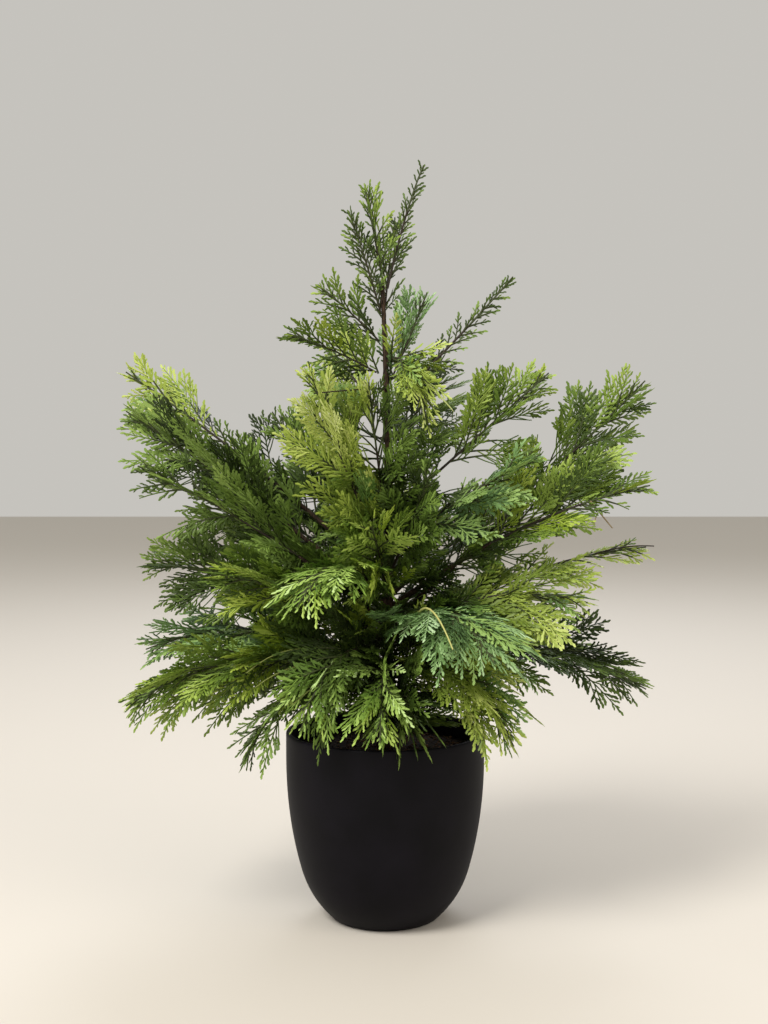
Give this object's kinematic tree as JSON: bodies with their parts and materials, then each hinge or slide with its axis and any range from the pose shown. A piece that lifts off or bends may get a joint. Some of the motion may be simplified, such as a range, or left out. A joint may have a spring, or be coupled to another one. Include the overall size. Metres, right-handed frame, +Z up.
{
  "type": "potted cypress",
  "caption": "Small evergreen shrub with flat feathery sprays on a slender trunk, in a round-bottomed matte black pot.",
  "frame": {"origin": "centre of the pot's flat underside", "axes": "+Z up along the trunk, -Y towards the front of the plant, +X to the right seen from the front"},
  "size_m": [0.4641, 0.3603, 0.642],
  "materials": {
    "matte_black_glaze": "matte",
    "potting_mix": "rough",
    "bark": "rough",
    "leaf_bright": "satin",
    "leaf_green": "satin",
    "leaf_dark": "satin",
    "leaf_glaucous": "satin",
    "leaf_pale": "satin"
  },
  "bodies": {
    "root": {"bough_back_left_mid": "bark", "bough_back_right_mid": "bark", "bough_left_broad": "bark", "bough_left_high": "bark", "bough_left_level": "bark", "bough_left_long": "bark", "bough_left_low": "bark", "bough_left_mid": "bark", "bough_right_end": "bark", "bough_right_front": "bark", "bough_right_high": "bark", "bough_right_low": "bark", "bough_right_mid": "bark", "bough_right_thin": "bark", "foliage_back_left_low": "leaf_green", "foliage_back_left_mid": "leaf_dark", "foliage_back_low": "leaf_dark", "foliage_back_mid": "leaf_bright", "foliage_back_right_low": "leaf_glaucous", "foliage_back_right_mid": "leaf_green", "foliage_crest_back": "leaf_green", "foliage_crest_leader": "leaf_green", "foliage_crest_left": "leaf_dark", "foliage_crest_right": "leaf_dark", "foliage_front_fan": "leaf_glaucous", "foliage_front_inner": "leaf_dark", "foliage_front_left_fan": "leaf_pale", "foliage_front_left_hang": "leaf_pale", "foliage_front_left_tall": "leaf_bright", "foliage_front_low": "leaf_dark", "foliage_front_mid": "leaf_green", "foliage_front_right_rim": "leaf_bright", "foliage_front_rim": "leaf_pale", "foliage_front_tall": "leaf_bright", "foliage_left_broad": "leaf_dark", "foliage_left_front": "leaf_green", "foliage_left_high": "leaf_bright", "foliage_left_level": "leaf_dark", "foliage_left_long": "leaf_green", "foliage_left_low": "leaf_glaucous", "foliage_left_mid": "leaf_dark", "foliage_left_rim": "leaf_dark", "foliage_left_upright": "leaf_dark", "foliage_right_end": "leaf_green", "foliage_right_front": "leaf_bright", "foliage_right_high": "leaf_green", "foliage_right_inner": "leaf_glaucous", "foliage_right_low": "leaf_dark", "foliage_right_mid": "leaf_green", "foliage_right_thin": "leaf_bright", "foliage_upper_back_left": "leaf_bright", "foliage_upper_back_right": "leaf_green", "foliage_upper_front": "leaf_bright", "foliage_upper_left": "leaf_green", "foliage_upper_left_tip": "leaf_green", "foliage_upper_right_long": "leaf_dark", "foliage_upper_right_upright": "leaf_glaucous", "pot": "matte_black_glaze", "potting_mix": "potting_mix", "trunk": "bark"}
  },
  "joints": []
}
